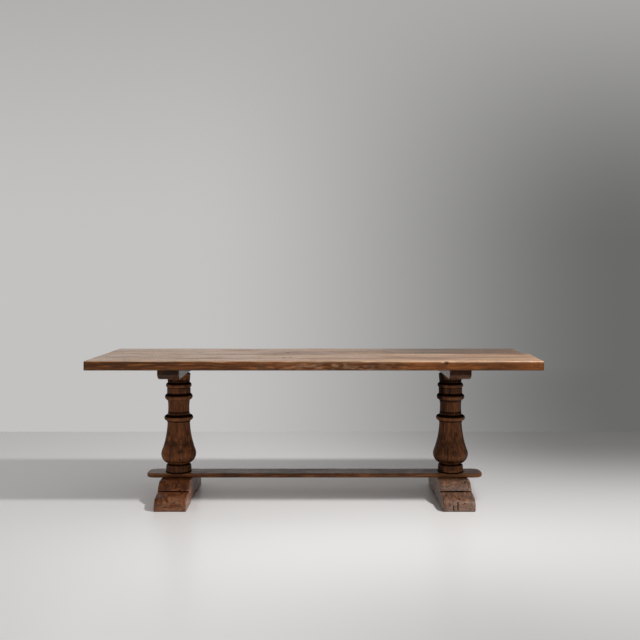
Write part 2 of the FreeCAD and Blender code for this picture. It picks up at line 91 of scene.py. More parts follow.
def layered(points, layers, seed):
    """The sum of layers of noise, each given by its strength and its cell."""
    return sum(layer[0] * noise(points, layer[1], seed + index) for index, layer in enumerate(layers))


def ramp(values, low, high):
    """0 below low, 1 above high and smooth between."""
    part = np.clip((values - low) / (high - low), 0, 1)
    return part * part * (3 - 2 * part)


def bump_at(values, middle, width):
    """A bell that is 1 at the middle and falls to 0 on both sides."""
    return np.exp(-((values - middle) / width) ** 2)


def segment_distance(points, start, finish):
    """Distance of the points from a straight line between two places."""
    start = np.asarray(start, dtype=float)
    way = np.asarray(finish, dtype=float) - start
    part = np.clip((points - start) @ way / (way @ way), 0, 1)
    return np.linalg.norm(points - start - part[:, None] * way, axis=1)


def new_piece(node, shape, material):
    """A piece that stands for a CAD node. Its material reads two marks at its points: wear, which also
    holds painted light, and darkening, which holds dirt and painted shade.
    """
    name = node + "_oak"
    mesh = bpy.data.meshes.new(name)
    mesh.from_pydata(shape.points.tolist(), [], list(shape.faces))
    mesh.update()
    mesh.shade_smooth()
    for key in ("wear", "grime_and_shade"):
        values = np.clip(getattr(shape, key), 0, 1)
        mesh.attributes.new(key, "FLOAT", "POINT").data.foreach_set("value", values)
    mesh.materials.append(material)
    piece = bpy.data.objects.new(name, mesh)
    bpy.context.scene.collection.objects.link(piece)
    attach(piece, "root")
    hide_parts(node)


def corners_of(node):
    """Lowest and highest corner of a CAD node."""
    low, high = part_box(node)
    return np.array(low), np.array(high)


def middle_x(node):
    """X of the middle of a CAD node."""
    low, high = corners_of(node)
    return (low[0] + high[0]) / 2


# Boards: a grid on the six sides of a box, rounded at the corners and arrises

def grid_lines(low, high, step, edge):
    """Grid lines from low to high, about a step apart, and closer within edge of both ends."""
    near = edge * np.array([0, 0.12, 0.28, 0.48, 0.72, 1])
    count = max(int(round((high - low - 2 * edge) / step)), 1)
    middle = np.linspace(low + edge, high - edge, count + 1)
    return np.concatenate([low + near[:-1], middle, high - near[-2::-1]])


def box_grid(xs, ys, zs):
    """Points and outward quads on the sides of a box, with grid lines at xs, ys and zs."""
    shape = (len(xs), len(ys), len(zs))
    outside = np.ones(shape, dtype=bool)
    outside[1:-1, 1:-1, 1:-1] = False
    index = np.full(shape, -1)
    index[outside] = np.arange(outside.sum())
    points = np.stack(np.meshgrid(xs, ys, zs, indexing="ij"), axis=-1)[outside]
    faces = []
    for axis in range(3):
        for end in (0, -1):
            side = np.take(index, end, axis=axis)
            quads = np.stack([side[:-1, :-1], side[1:, :-1], side[1:, 1:], side[:-1, 1:]], axis=-1)
            quads = quads.reshape(-1, 4)
            faces.append(quads[:, ::-1] if (end == 0) != (axis == 1) else quads)
    return points, np.concatenate(faces)


def rounded(points, low, high, corner, arris):
    """The points of a box with its upright corners and then its upper and lower arrises rounded.

    Also gives how far each point is inside the outline, seen from above.
    """
    middle = (low + high) / 2
    half = (high - low) / 2
    side = np.sign(points - middle)
    away = np.abs(points - middle)
    flat = half[:2] - corner
    out = np.maximum(away[:, :2] - flat, 0)
    reach = np.linalg.norm(out, axis=1)
    at_corner = (out > 0).all(axis=1)
    scale = out.max(axis=1) / np.where(reach > 0, reach, 1)
    away[:, :2] = np.where(at_corner[:, None], flat + out * scale[:, None], away[:, :2])
    inset = half[:2] - away[:, :2]
    normal = np.where(inset[:, :1] < inset[:, 1:], [1.0, 0.0], [0.0, 1.0])
    normal = np.where(at_corner[:, None], out / np.where(reach > 0, reach, 1)[:, None], normal)
    inside = np.where(at_corner, corner - (out * scale[:, None] * normal).sum(axis=1), inset.min(axis=1))
    outward = np.maximum(arris - inside, 0)
    upward = np.maximum(away[:, 2] - (half[2] - arris), 0)
    length = np.hypot(outward, upward)
    scale = np.where(length > 0, np.maximum(outward, upward) / np.where(length > 0, length, 1), 1)
    near = (outward > 0) & (upward > 0)
    away[:, :2] += np.where(near[:, None], normal * (outward * (scale - 1))[:, None], 0)
    away[:, 2] = np.where(near, half[2] - arris + upward * scale, away[:, 2])
    return middle + side * away, inside


# Planks of the top

PLANK_STEPS = (0.006, 0.009, 0.005)
PLANK_EDGE = 0.008
PLANK_CORNER = 0.006
PLANK_ARRIS = 0.0045
# How far the right end of each plank and each left corner of the top are out of square
PLANK_SKEW = {"front": 0.029, "back": 0.013}
LEFT_WEAR = 0.005
# Seeds and cells of the planks' noise, and strengths where it has layers
PLANK_SEEDS = {"front": 11, "back": 37}
LONG_WAVE = (0.42, 0.9, 1)
SHORT_WAVE = (0.07, 0.4, 1)
EDGE_RIPPLE = (0.022, 0.022, 0.012)
ARRIS_WAVE = (0.16, 0.5, 1)
HAND_MOTTLE = (0.02, 0.3, 0.006)
EDGE_PATCHES = (0.055, 0.3, 0.03)
SAG = ((0.9, (0.5, 0.16, 1)), (0.35, (0.11, 0.045, 1)))
BANDS = ((1, (0.55, 0.085, 1)), (0.5, (0.2, 0.03, 1)))
# How far the ends reach, where the edge wanders less
END_REACH = 0.03
# Places where the front arris is worn away, in millimetres: X, width and depth
ARRIS_DENTS = ((-934, 60, 1.0), (-729, 45, 1.6), (-574, 80, 1.2), (-484, 30, 1.8), (-269, 55, 1.0),
               (46, 70, 1.5), (256, 40, 1.2), (641, 16, 2.4), (716, 60, 1.5), (971, 50, 1.2))
# Heights and depths on the top and underside, in millimetres
SAG_MEAN = 0.9
UNDERSIDE_RISE = 0.4
JOINT_DEPTH = 1.1
KNOT_DEPTH = 1.4
# Knots on the top, in millimetres: X, Y, width and reach
TOP_KNOTS = ((-174, -204, 11, 19), (-140, -172, 11, 18), (-161, 104, 9, 14), (-654, 130, 9, 8),
             (381, 205, 8, 7))
# Darker wood around a knot: its stretch along the grain, reach and strength
HALO_STRETCH = 2
HALO_REACH = 0.030
HALO_STRENGTH = 0.42
# Knots in the front edge: X, Z and ring radius in metres, darkness, and depth in millimetres
EDGE_KNOTS = ((0.648, 0.7665, 0.005, 0.66, 1.2), (1.101, 0.755, 0.008, 0.38, 0.4))
EDGE_KNOT_STRETCH = 1.3
EDGE_KNOT_REACH = 0.011
EDGE_KNOT_RING = 0.006


class Plank:
    """One plank of the top. Its outer edges are uneven and worn, and its joint edge is crisp."""

    def __init__(self, place):
        self.front = place == "front"
        self.outward = -1 if self.front else 1
        self.seed = PLANK_SEEDS[place]
        self.low, self.high = corners_of("top_plank_" + place)
        self.thickness = self.high[2] - self.low[2]
        self.make_grid()
        self.skew_ends(PLANK_SKEW[place])
        # Views, so that a change to them moves the points
        self.x, self.y, self.z = self.points.T
        self.near_edge = 1 - ramp(self.inside, 0.0, 0.05)
        self.upper = ramp(self.above, self.thickness - 0.014, self.thickness - 0.001)
        self.arris = (1 - ramp(self.inside, 0.0, 0.02)) * self.upper
        self.top_side = ramp(self.above, 0.7 * self.thickness, self.thickness)
        flat = self.points * [1, 1, 0]
        self.long_wave = noise(flat, LONG_WAVE, self.seed)
        self.short_wave = noise(flat, SHORT_WAVE, self.seed + 1)
        self.arris_wave = noise(flat, ARRIS_WAVE, self.seed + 3)
        self.sag = layered(flat, SAG, self.seed + 4)
        self.bands = layered(flat, BANDS, self.seed + 6)
        self.wear_edges()
        self.sag_top()
        self.add_knots()
        self.wear = self.worn()
        self.grime_and_shade = self.dirt_and_shade()

    def make_grid(self):
        """A grid on the sides. The rounded box goes on past the joint, so that the joint stays crisp."""
        edges = (PLANK_EDGE, PLANK_EDGE, PLANK_ARRIS)
        points, self.faces = box_grid(*map(grid_lines, self.low, self.high, PLANK_STEPS, edges))
        self.above = points[:, 2] - self.low[2]
        past_joint = np.array([0, 1, 0])
        low = self.low if self.front else self.low - past_joint
        high = self.high + past_joint if self.front else self.high
        self.points, self.inside = rounded(points, low, high, PLANK_CORNER, PLANK_ARRIS)

    def skew_ends(self, most):
        """Both ends out of square. Left and right are the ends of the plank in line with each point."""
        points = self.points
        length, width, _ = self.high - self.low
        skew = most * (self.high[1] - points[:, 1]) / width
        points[:, 0] -= skew * (points[:, 0] - self.low[0]) / length
        half_width = corners_of("top_plank_back")[1][1]
        wear = LEFT_WEAR * points[:, 1] / half_width
        points[:, 0] += wear * (self.high[0] - points[:, 0]) / length
        self.left = self.low[0] + wear
        self.right = self.high[0] - skew

    def wear_edges(self):
        """Outer edges that wander in and out, with an upper arris worn unevenly and dented at the front."""
        ripple = noise(self.points, EDGE_RIPPLE, self.seed + 2)
        inward = 1.2 * self.long_wave + 0.7 * self.short_wave + 0.5 * ripple - 0.8
        inward = inward * MM * self.near_edge
        at_end = np.minimum(self.x - self.left, self.right - self.x) < END_REACH
        self.y += self.outward * np.where(at_end, 0, inward)
        self.x += np.where(at_end, np.sign(self.x) * inward * 0.3, 0)
        worn = (0.4 + 0.6 * self.arris_wave + 0.5 * self.short_wave) * MM
        for place, width, depth in ARRIS_DENTS if self.front else ():
            worn = worn + depth * MM * bump_at(self.x, place * MM, width * MM)
        worn = np.maximum(worn, 0) * self.arris
        self.z -= worn
        self.y -= self.outward * 0.6 * worn * (self.inside < 0.01)

    def sag_top(self):
        """A top that isn't flat any more, an underside with worn arrises, and a joint that shows."""
        self.z += (self.sag - SAG_MEAN) * MM * self.top_side
        self.z += UNDERSIDE_RISE * MM * (1 - ramp(self.above, 0, 0.004))
        joint = np.abs(self.y - (self.high[1] if self.front else self.low[1]))
        self.seam = 1 - ramp(joint, 0.0004, 0.004)
        self.z -= JOINT_DEPTH * MM * self.seam * self.top_side

    def add_knots(self):
        """Sunk knots with darker wood around them, and hollows with a dark ring in the front edge."""
        self.knot = np.zeros(len(self.points))
        self.halo = np.zeros(len(self.points))
        for place_x, place_y, width, reach in TOP_KNOTS:
            away_x = self.x - place_x * MM
            away_y = self.y - place_y * MM
            core = bump_at(np.hypot(away_x / width, away_y / reach), 0, MM)
            self.knot = np.maximum(self.knot, core * self.top_side)
            around = bump_at(np.hypot(away_x / HALO_STRETCH, away_y), 0, HALO_REACH)
            self.halo = np.maximum(self.halo, HALO_STRENGTH * around)
        self.z -= KNOT_DEPTH * MM * self.knot
        on_edge = self.inside < 0.006
        for place_x, place_z, ring, darkness, depth in EDGE_KNOTS if self.front else ():
            distance = np.hypot((self.x - place_x) / EDGE_KNOT_STRETCH, self.z - place_z)
            self.y += depth * MM * bump_at(distance, 0, EDGE_KNOT_REACH) * on_edge
            dark = darkness * bump_at(distance, ring, EDGE_KNOT_RING) * on_edge
            self.knot = np.maximum(self.knot, dark)

    def worn(self):
        """Where the wood is paler: the worn arris with a painted highlight towards the right, the worn top
        with a painted reflection that is brighter to the left, paler patches in the middle of the edge that
        are worn and painted light, and a pale border.
        """
        rubbed_and_glint = self.arris * ramp(self.above, self.thickness - 0.004, self.thickness - 0.001)
        # Painted highlight: the worn arris is paler towards the right, where the lamp glints on it
        rubbed_and_glint = rubbed_and_glint * (0.62 + 0.38 * ramp(self.x + 0.3 * self.short_wave, -1.1, 0.4))
        faded = self.top_side * ramp(self.above, self.thickness - 0.003, self.thickness)
        faded = faded * (0.63 + 0.12 * self.sag + 0.38 * self.bands)
        # Painted reflection: the top is paler to the left, where it mirrors a brighter wall, and dimmer to
        # the right; the back plank is also less worn to the right
        painted_reflection_left = 0.22 * ramp(-self.x, 0.1, 1.0)
        dimmer_right = (0.05 if self.front else 0.14) * ramp(self.x, 0.0, 1.0)
        faded = faded * (1.05 + painted_reflection_left - dimmer_right)
        mottle = ramp(noise(self.points, HAND_MOTTLE, self.seed + 8), -0.3, 0.8)
        # Worn patches in the middle of the front edge, also painted light that evens out the lamp's light
        # along the edge
        handled_and_lit = 0.42 * mottle * bump_at(self.x, 0.08, 0.3) * self.near_edge * (1 - self.upper)
        border = 0.6 * self.top_side * (1 - ramp(self.inside, 0.01, 0.07))
        border = border * ramp(self.x + 0.2 * self.short_wave, -0.6, 0.2)
        return np.maximum.reduce([rubbed_and_glint, faded, handled_and_lit, border]) * (1 - self.knot)

    def dirt_and_shade(self):
        """Where the wood is darker: dirt in knots and the joint, painted shade on the lower arris, at the
        rounded left corner and towards the right of the front edge, dark patches and a darker right end on
        the edge, and an older back plank.
        """
        at_front = self.y < self.low[1] + 0.008
        # Painted shade: the rounded front-left corner, turned away from the lamp, is painted dark
        left_corner_shade = 0.8 * (1 - ramp(self.x - self.left, 0.003, 0.007))
        right_end = 0.3 * (1 - ramp(self.right - self.x, 0.002, 0.010))
        # Painted shade: the front edge gets darker towards the right, where the lamp lights it most
        shaded = np.where(at_front, left_corner_shade + 0.26 * ramp(self.x, 0.1, 0.9) + right_end, 0.1)
        patches = 0.36 * ramp(noise(self.points, EDGE_PATCHES, self.seed + 9), 0.05, 0.8) * at_front
        shaded = np.maximum(shaded, patches) * self.near_edge * (1 - self.upper)
        # Painted shade along the lower arris, under the edge
        lower_arris_shade = 0.62 * (1 - ramp(self.above, 0, 0.008)) * self.near_edge
        dirt_and_shade = [self.knot, self.halo * self.top_side, 0.9 * self.seam, lower_arris_shade, shaded]
        if not self.front:
            aged = ramp(self.x + 0.25 * self.long_wave, -0.35, 0.75) * (0.56 + 0.12 * self.bands)
            dirt_and_shade.append(aged * self.top_side)
        return np.maximum.reduce(dirt_and_shade)


# Stretcher

STRETCHER_STEPS = (0.007, 0.006, 0.003)
STRETCHER_EDGE = 0.046
STRETCHER_CORNER = 0.045
STRETCHER_ARRIS = 0.0075
STRETCHER_SEED = 61
STRETCHER_WAVE = (0.3, 0.5, 1)
STRETCHER_RIPPLE = (0.05, 0.2, 0.03)
STRETCHER_DISH = ((1, (0.22, 0.06, 1)), (0.5, (0.05, 0.03, 1)))
STRETCHER_UNDERSIDE = (0.2, 0.06, 1)


def stretcher_shape():
    """The board on the feet: dished between the legs, dark close to the columns, and with painted light on
    the right of its front edge.
    """
    low, high = corners_of("stretcher")
    edges = (STRETCHER_EDGE, STRETCHER_EDGE, STRETCHER_ARRIS)
    points, faces = box_grid(*map(grid_lines, low, high, STRETCHER_STEPS, edges))
    above = points[:, 2] - low[2]
    points, inside = rounded(points, low, high, STRETCHER_CORNER, STRETCHER_ARRIS)
    # Views, so that a change to them moves the points
    x, y, z = points.T
    thickness = high[2] - low[2]
    flat = points * [1, 1, 0]
    near_edge = 1 - ramp(inside, 0.0, 0.03)
    wave = noise(flat, STRETCHER_WAVE, STRETCHER_SEED)
    wave = wave + 0.6 * noise(points, STRETCHER_RIPPLE, STRETCHER_SEED + 1)
    at_end = np.minimum(x - low[0], high[0] - x) < STRETCHER_EDGE
    y += np.where(at_end, 0, np.sign(y) * (wave - 0.8) * 0.9 * MM * near_edge)
    top_side = ramp(above, 0.6 * thickness, thickness)
    bottom_side = 1 - ramp(above, 0, 0.4 * thickness)
    from_leg = np.min([np.abs(x - middle_x("foot_" + side)) for side in SIDES], axis=0)
    away_from_legs = ramp(from_leg, 0.07, 0.12)
    dish = layered(flat, STRETCHER_DISH, STRETCHER_SEED + 2)
    z += (0.6 * dish - 0.7) * MM * top_side * away_from_legs
    uneven = noise(flat, STRETCHER_UNDERSIDE, STRETCHER_SEED + 4)
    z += 0.4 * MM * uneven * bottom_side * away_from_legs
    upper_arris = top_side * ramp(wave, -0.8, 1.0)
    # Besides the worn upper arris, the front edge is painted paler towards the right: painted light from
    # the lamp there
    wear = near_edge * np.maximum(upper_arris, 0.62 * ramp(x + 0.2 * wave, 0.1, 0.8))
    grime_and_shade = 0.9 * (1 - ramp(np.hypot(from_leg, y), 0.066, 0.088)) * top_side
    return SimpleNamespace(points=points, faces=faces, wear=wear, grime_and_shade=grime_and_shade)


# Turned columns

COLUMN_RINGS = 430
COLUMN_SPOKES = 144
COLUMN_SEEDS = {"left": 101, "right": 151}
# Gap between the end rings and the solid's ends, and the least rise of an edge that is read
END_GAP = 1e-5
LEAST_RISE = 1e-7
# Reach of the blurs that find hollow and proud members, and spread the dirt on shelves
MEMBER_REACH = 0.012
SHELF_REACH = 0.003
# Where the uneven part starts above the stretcher, and where it stops at the bearer
BODY_START = (0, 0.007)
BODY_END = (-0.002, 0.003)
OUT_OF_ROUND = 0.0035
# The noise is read on a cylinder of this radius
NOISE_RADIUS = 0.08
# Lumps and tool marks: strengths in millimetres and cells, then the mean
COLUMN_LUMPS = ((0.7, (0.05, 0.05, 0.09)), (0.3, (0.012, 0.012, 0.05)), (0.22, (0.4, 0.4, 0.0032)))
COLUMN_LUMP_MEAN = -0.2
COLUMN_CHIPS = (0.018, 0.018, 0.012)
COLUMN_CHIP_DEPTH = 1.8
# Drying cracks: degrees from the front, heights of both ends, and width and depth in millimetres
COLUMN_CRACKS = {
    "left": ((24, 0.232, 0.300, 1.1, 3.0), (-38, 0.330, 0.402, 0.9, 2.0), (7, 0.474, 0.512, 0.8, 2.0),
             (150, 0.215, 0.380, 1.3, 4.0)),
    "right": ((-17, 0.206, 0.290, 1.9, 6.0), (-14, 0.287, 0.318, 1.0, 2.5), (34, 0.255, 0.335, 0.9, 2.0),
              (-30, 0.476, 0.515, 0.8, 2.0), (-160, 0.240, 0.400, 1.4, 4.0))}
# Closer spokes at a crack: their number, then their reach and least gap in radians
CRACK_SPOKES = 15
CRACK_REACH = 0.035
LEAST_TURN = 0.001
# A crack wanders sideways by 1.6 mm at a radius of 90 mm, and runs out over 20 mm at both ends
CRACK_WANDER = 1.6 * MM / 0.09
CRACK_WANDER_CELL = 0.02
CRACK_TAPER = 0.02
# Cells of the noise in the dirt, painted shade and wear
PATINA_CELL = (0.06, 0.06, 0.10)
PATCH_CELL = (0.025, 0.025, 0.05)
INNER_CELL = 0.03
RING_CELL = (0.03, 0.03, 0.02)
MEMBER_WEAR_CELL = (0.04, 0.04, 0.03)
SPECKS = ((1, (0.013, 0.013, 0.022)), (0.5, (0.03, 0.03, 0.05)))
# Painted shade on the inner side, which faces under the table, more of it on the upper half, and dirt on
# the lowest member
INNER_SHADE = {"left": 0.14, "right": 0.34}
UPPER_INNER_SHADE = {"left": 0.0, "right": 0.34}
LOWEST_DIRT = {"left": 0.45, "right": 0.13}
# Rings of painted shade and old dirt, such as the shade under the top and above the rings: height, width
# and strength
SHADE_AND_DIRT_RINGS = {
    "left": ((0.657, 0.012, 0.42), (0.638, 0.012, 0.78), (0.586, 0.012, 0.38), (0.467, 0.0055, 0.85),
             (0.421, 0.0045, 0.50), (0.303, 0.028, 0.50), (0.206, 0.008, 0.62)),
    "right": ((0.638, 0.012, 0.85), (0.584, 0.014, 0.48), (0.552, 0.005, 0.45), (0.536, 0.004, 0.65),
              (0.467, 0.0055, 0.85), (0.421, 0.0045, 0.58), (0.303, 0.028, 0.40), (0.206, 0.009, 0.78))}
# Rings painted lighter, with less dirt and painted shade, where an edge catches the light: height and width
LIGHTER_RINGS = {"left": ((0.527, 0.007), (0.457, 0.004), (0.411, 0.004), (0.191, 0.003)),
               "right": ((0.457, 0.004), (0.411, 0.004), (0.191, 0.003))}
# Rings painted paler, such as light bounced up from the stretcher onto the lower bulb: height, width and
# strength
PAINTED_LIGHT_RINGS = {"left": ((0.231, 0.010, 0.28), (0.543, 0.005, 0.45)), "right": ((0.231, 0.010, 0.28),)}
# Patches of painted shade on the inner side and of painted light low on the bulb: sine of the angle and its
# width, height and its width, and strength
SHADE_PATCHES = {"left": ((0.6, 0.5, 0.296, 0.018, 0.58),), "right": ()}
LIGHT_PATCHES = {"left": ((0.35, 0.35, 0.243, 0.012, 0.45),), "right": ()}


def read_rows(items, key, width, kind=float):
    """A row of numbers for each vertex or edge of a mesh."""
    values = np.empty(len(items) * width, dtype=kind)
    items.foreach_get(key, values)
    return values.reshape(-1, width)


def turned_radius(node, axis_x, heights):
    """The radius of a turned CAD node at each height, from the edges of its mesh that run up its sides."""
    mesh = nodes[node].data
    points = read_rows(mesh.vertices, "co", 3)
    radius = np.hypot(points[:, 0] - axis_x, points[:, 1])
    result = np.zeros(len(heights))
    for start, finish in read_rows(mesh.edges, "vertices", 2, int):
        low, high = sorted((points[start, 2], points[finish, 2]))
        if high - low > LEAST_RISE:
            hit = (heights >= low) & (heights <= high)
            part = (heights[hit] - points[start, 2]) / (points[finish, 2] - points[start, 2])
            here = radius[start] + (radius[finish] - radius[start]) * part
            result[hit] = np.maximum(result[hit], here)
    return result


def blurred(values, reach):
    """The values with each one averaged over its neighbours, by a bell of that reach in samples."""
    span = np.arange(-4 * reach, 4 * reach + 1)
    bell = np.exp(-0.5 * (span / reach) ** 2)
    padded = np.pad(values, len(span) // 2, mode="edge")
    return np.convolve(padded, bell / bell.sum(), mode="valid")


class Column:
    """A turned column: slightly out of round, with softened members, tool marks and drying cracks."""

    def __init__(self, side):
        self.side = side
        self.sign = SIDES[side]
        self.seed = COLUMN_SEEDS[side]
        self.axis_x = middle_x("column_" + side)
        self.read_profile("column_" + side)
        self.make_grid()
        self.turn_shape()
        self.cut_cracks()
        self.points, self.faces = self.mesh()
        self.wear = self.worn()
        self.grime_and_shade = np.maximum.reduce([self.settled_dirt_and_shade(), self.patina_and_shade(), self.cracks])

    def read_profile(self, node):
        """The softened profile of the solid, and where it is hollow or proud of its broad form."""
        low, high = corners_of(node)
        self.heights = np.linspace(low[2] + END_GAP, high[2] - END_GAP, COLUMN_RINGS)
        profile = turned_radius(node, self.axis_x, self.heights)
        self.profile = profile * 0.35 + blurred(profile, 1) * 0.65
        self.spacing = self.heights[1] - self.heights[0]
        broad = blurred(self.profile, int(round(MEMBER_REACH / self.spacing)))
        self.hollow = ramp(broad - self.profile, 0.0003, 0.0045)
        self.proud = ramp(self.profile - broad, 0.0008, 0.007)

    def make_grid(self):
        """The angle and height of each point, with closer angles at the cracks."""
        angles = np.linspace(-math.pi, math.pi, COLUMN_SPOKES, endpoint=False)
        closer = np.linspace(-CRACK_REACH, CRACK_REACH, CRACK_SPOKES)
        at_cracks = [math.radians(degrees) + closer for degrees, *_ in COLUMN_CRACKS[self.side]]
        angles = np.sort(np.concatenate([angles, *at_cracks]))
        angles = angles[np.diff(angles, prepend=-2 * math.pi) > LEAST_TURN]
        self.count = len(angles)
        turn, height = np.meshgrid(angles, self.heights)
        self.turn = turn.ravel()
        self.height = height.ravel()
        across = np.sin(self.turn) * NOISE_RADIUS + self.sign
        self.place = np.stack([across, -np.cos(self.turn) * NOISE_RADIUS, self.height], axis=1)

    def on_rings(self, values):
        """Values of the rings, given to each of their points."""
        return np.repeat(values, self.count)

    def turn_shape(self):
        """The radius at each point: a little oval, with lumps, tool marks and chipped proud members."""
        stretcher_top = corners_of("stretcher")[1][2]
        bearer_bottom = corners_of("bearer_" + self.side)[0][2]
        body = ramp(self.height - stretcher_top, *BODY_START)
        body = body * (1 - ramp(self.height - bearer_bottom, *BODY_END))
        oval = 1 + OUT_OF_ROUND * np.cos(2 * (self.turn - self.sign)) * body
        lumps = layered(self.place, COLUMN_LUMPS, self.seed) + COLUMN_LUMP_MEAN
        chipped = ramp(noise(self.place, COLUMN_CHIPS, self.seed + 3), 0.55, 0.9)
        self.chips = chipped * self.on_rings(self.proud)
        self.radius = self.on_rings(self.profile) * oval + body * MM * lumps
        self.radius -= COLUMN_CHIP_DEPTH * MM * self.chips

    def cut_cracks(self):
        """Cracks along the grain, deepest in their middle."""
        self.cracks = np.zeros(len(self.turn))
        for degrees, bottom, top, width, depth in COLUMN_CRACKS[self.side]:
            wander = noise(self.place * [0, 0, 1], CRACK_WANDER_CELL, self.seed + degrees)
            turned = self.turn - math.radians(degrees) - CRACK_WANDER * wander
            across = turned * self.on_rings(self.profile)
            to_end = [(self.height - bottom) / CRACK_TAPER, (top - self.height) / CRACK_TAPER]
            length = np.prod(np.clip(to_end, 0, 1), axis=0)
            cut = bump_at(across, 0, width * MM) * np.sqrt(length)
            self.radius -= depth * MM * cut
            self.cracks = np.maximum(self.cracks, cut)

    def rings(self, table):
        """A bell around each ring of a table."""
        return [strength * bump_at(self.height, middle, width) for middle, width, strength in table]

    def patches(self, table):
        """A round bell at each patch of a table."""
        return [strength * bump_at(np.sin(self.turn), sine, spread) * bump_at(self.height, middle, width)
                for sine, spread, middle, width, strength in table]

    def settled_dirt_and_shade(self):
        """Dirt in the hollows and painted shade on the shelves that face up, with less of both in the
        lighter rings.
        """
        slope = -np.gradient(self.profile, self.heights)
        # Painted shade on the shelves that face up, high on the column, where the top keeps the light off
        shelf = ramp(slope, 0.15, 0.9) * ramp(self.heights, 0.40, 0.42)
        shelf = np.clip(1.5 * blurred(shelf, int(round(SHELF_REACH / self.spacing))), 0, 1)
        dirt_and_shade = self.on_rings(np.maximum(self.hollow, shelf))
        for middle, width in LIGHTER_RINGS[self.side]:
            dirt_and_shade *= 1 - 0.65 * bump_at(self.height, middle, width)
        return dirt_and_shade

    def patina_and_shade(self):
        """Dark patches and specks, more of them on the inner side, painted shade on the inner side, a dark
        lowest member, and rings of painted shade and dirt.
        """
        inner = -self.sign * np.sin(self.turn)
        dark = ramp(noise(self.place, PATINA_CELL, self.seed + 5) + 0.4 * inner, 0.1, 1.0)
        dark = 0.40 * dark * ramp(noise(self.place, PATCH_CELL, self.seed + 6), -0.8, 0.4)
        specks = 0.46 * ramp(layered(self.place, SPECKS, self.seed + 9), 0.25, 0.9)
        # Painted shade on the inner side, which faces under the table
        inner_shade = INNER_SHADE[self.side] + UPPER_INNER_SHADE[self.side] * ramp(self.height, 0.50, 0.54)
        inner_edge = inner + 0.1 * noise(self.place, INNER_CELL, self.seed + 7)
        inner_shade = inner_shade * ramp(inner_edge, 0.35, 0.8)
        lowest = LOWEST_DIRT[self.side] * (1 - ramp(self.height, 0.178, 0.182))
        uneven = 0.9 + 0.2 * noise(self.place, RING_CELL, self.seed + 8)
        rings = [uneven * ring for ring in self.rings(SHADE_AND_DIRT_RINGS[self.side])]
        patches = self.patches(SHADE_PATCHES[self.side])
        return np.maximum.reduce([dark, specks, inner_shade, lowest, *rings, *patches])

    def worn(self):
        """Where the wood is paler: worn proud members, and painted light in rings and patches, but not on
        chips.
        """
        uneven = ramp(noise(self.place, MEMBER_WEAR_CELL, self.seed + 4), -0.7, 0.7)
        rings = self.rings(PAINTED_LIGHT_RINGS[self.side])
        patches = self.patches(LIGHT_PATCHES[self.side])
        wear = np.maximum.reduce([self.on_rings(self.proud) * uneven, *rings, *patches])
        return np.maximum(wear - self.chips, 0)

    def mesh(self):
        """Points and faces: quads between the rings, and one face at each end."""
        across = self.axis_x + self.radius * np.sin(self.turn)
        points = np.stack([across, -self.radius * np.cos(self.turn), self.height], axis=1)
        ring = np.arange(self.count)
        following = np.roll(ring, -1)
        band = np.stack([ring, following, following + self.count, ring + self.count], axis=1)
        starts = self.count * np.arange(COLUMN_RINGS - 1)
        faces = (band + starts[:, None, None]).reshape(-1, 4).tolist()
        last = ring + self.count * (COLUMN_RINGS - 1)
        return points, faces + [ring[::-1].tolist(), last.tolist()]


# Feet and bearers: an even mesh over the CAD solid, then softened and worn

# The noise is read this far outward, so that the two sides differ
NOISE_SHIFT = 3.0


def even_mesh(node, voxel):
    """Points, normals, edges and faces of an even mesh over a CAD node."""
    shape = bpy.data.objects.new("even", nodes[node].data.copy())
    bpy.context.scene.collection.objects.link(shape)
    modifier = shape.modifiers.new("even", "REMESH")
    modifier.mode = "VOXEL"
    modifier.voxel_size = voxel
    result = shape.evaluated_get(bpy.context.evaluated_depsgraph_get()).to_mesh()
    points = read_rows(result.vertices, "co", 3)
    normals = read_rows(result.vertices, "normal", 3)
    edges = read_rows(result.edges, "vertices", 2, int)
    faces = np.array([list(polygon.vertices) for polygon in result.polygons])
    bpy.data.objects.remove(shape)
    return points, normals, edges, faces


def neighbour_mean(values, edges):
    """The mean of the values at each point's neighbours."""
    count = len(values)
    first, last = edges.T
    degree = np.bincount(first, minlength=count) + np.bincount(last, minlength=count)
    columns = values.reshape(count, -1).T
    total = [np.bincount(first, column[last], count) + np.bincount(last, column[first], count)
             for column in columns]
    return (np.stack(total, axis=1) / degree[:, None]).reshape(values.shape)


def worn_solid(node, voxel):
    """A CAD node as an even mesh with softened arrises, and how far each point stands proud."""
    points, normals, edges, faces = even_mesh(node, voxel)
    points = points * 0.45 + neighbour_mean(points, edges) * 0.55
    proud = ((points - neighbour_mean(points, edges)) * normals).sum(axis=1) / voxel
    for _ in range(2):
        proud = proud * 0.5 + neighbour_mean(proud, edges) * 0.5
    return points, normals, faces, proud


FOOT_VOXEL = 0.0021
FOOT_SEEDS = {"left": 201, "right": 251}
# Lumps: strengths in millimetres and cells, then the mean
FOOT_LUMPS = ((0.9, (0.06, 0.09, 0.05)), (0.45, (0.02, 0.05, 0.014)), (0.3, (0.008, 0.03, 0.006)))
FOOT_LUMP_MEAN = 0.4
FOOT_CHIPS = (0.024, 0.024, 0.018)
FOOT_CHIP_DEPTH = 1.3
# How far the outer side stands out, in millimetres
FOOT_SPREAD = {"left": 0.0, "right": 2.4}
# Within these distances of the stretcher's edge and underside, this part of the wear is left
BOARD_EDGE = 0.007
BOARD_UNDERSIDE = 0.004
BOARD_FREEDOM = 0.1
# The quirk above each toe: its place, then width and depth in millimetres, and the cell of its wander
QUIRK_Y = 0.190
QUIRK_Z = 0.0745
QUIRK_WIDTH = 5.6
QUIRK_DEPTH = 4.0
QUIRK_CELL = 0.03
